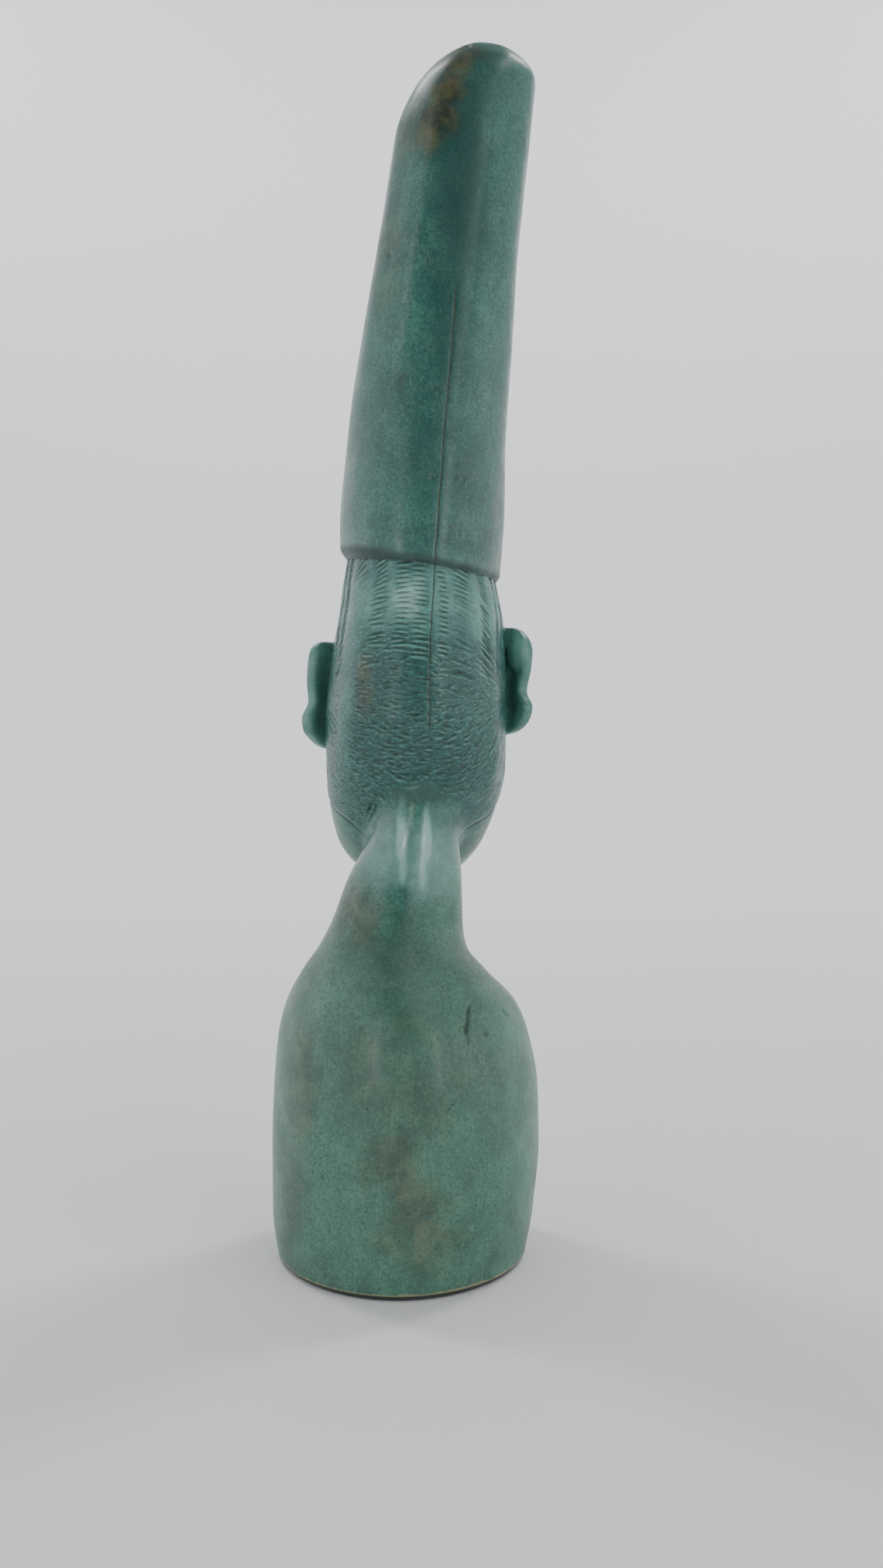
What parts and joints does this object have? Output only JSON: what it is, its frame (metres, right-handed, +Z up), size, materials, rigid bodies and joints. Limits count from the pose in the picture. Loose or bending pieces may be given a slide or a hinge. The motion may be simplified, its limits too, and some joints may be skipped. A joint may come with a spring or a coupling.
{
  "type": "carved soapstone figure",
  "caption": "Hand-carved, waxed blue-green soapstone head and bust under a tall leaning hat, one solid stone that stands on its flat underside.",
  "frame": {"origin": "centre of the flat underside that the figure stands on", "axes": "+Z up, the face looks along -Y, +X to the figure's own left"},
  "size_m": [0.0881, 0.092, 0.3904],
  "materials": {
    "soapstone": "carved, sanded smooth and waxed, with a soft gloss and a worn, darker bloom in the cuts"
  },
  "bodies": {
    "root": {"carved_figure": "soapstone"}
  },
  "joints": []
}
